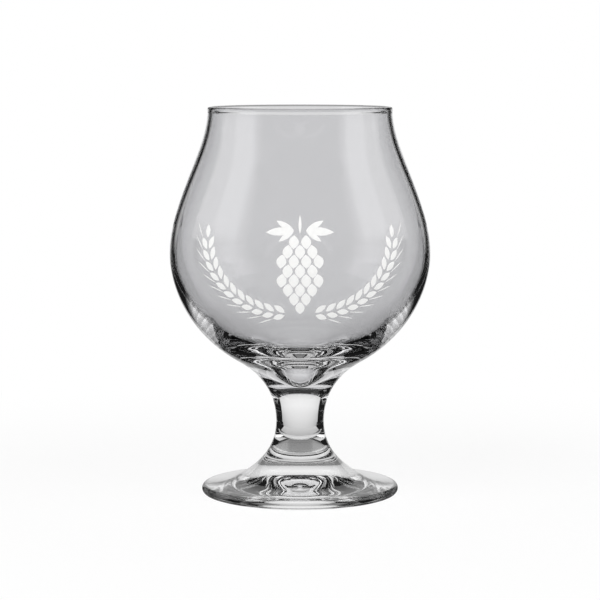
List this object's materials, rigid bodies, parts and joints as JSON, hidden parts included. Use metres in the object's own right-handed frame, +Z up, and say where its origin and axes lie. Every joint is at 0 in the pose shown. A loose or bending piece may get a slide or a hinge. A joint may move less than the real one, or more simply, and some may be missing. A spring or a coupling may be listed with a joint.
{
  "type": "tulip beer glass",
  "caption": "Footed tulip glass with a wide belly drawn in to a rolled rim, a short solid waisted stem and a flat round foot, for serving beer.",
  "frame": {"origin": "on the table surface, under the centre of the foot", "axes": "+Z up along the axis that the bowl, stem and foot are turned about; +X and +Y lie in the table surface"},
  "size_m": [0.1016, 0.1016, 0.1512],
  "materials": {
    "bowl_glass": "clear blown soda-lime glass, fire-polished",
    "stem_glass": "clear solid soda-lime glass, fire-polished",
    "foot_glass": "clear pressed soda-lime glass, fire-polished"
  },
  "bodies": {
    "root": {"bowl": "bowl_glass", "stem": "stem_glass", "foot": "foot_glass"}
  },
  "joints": []
}
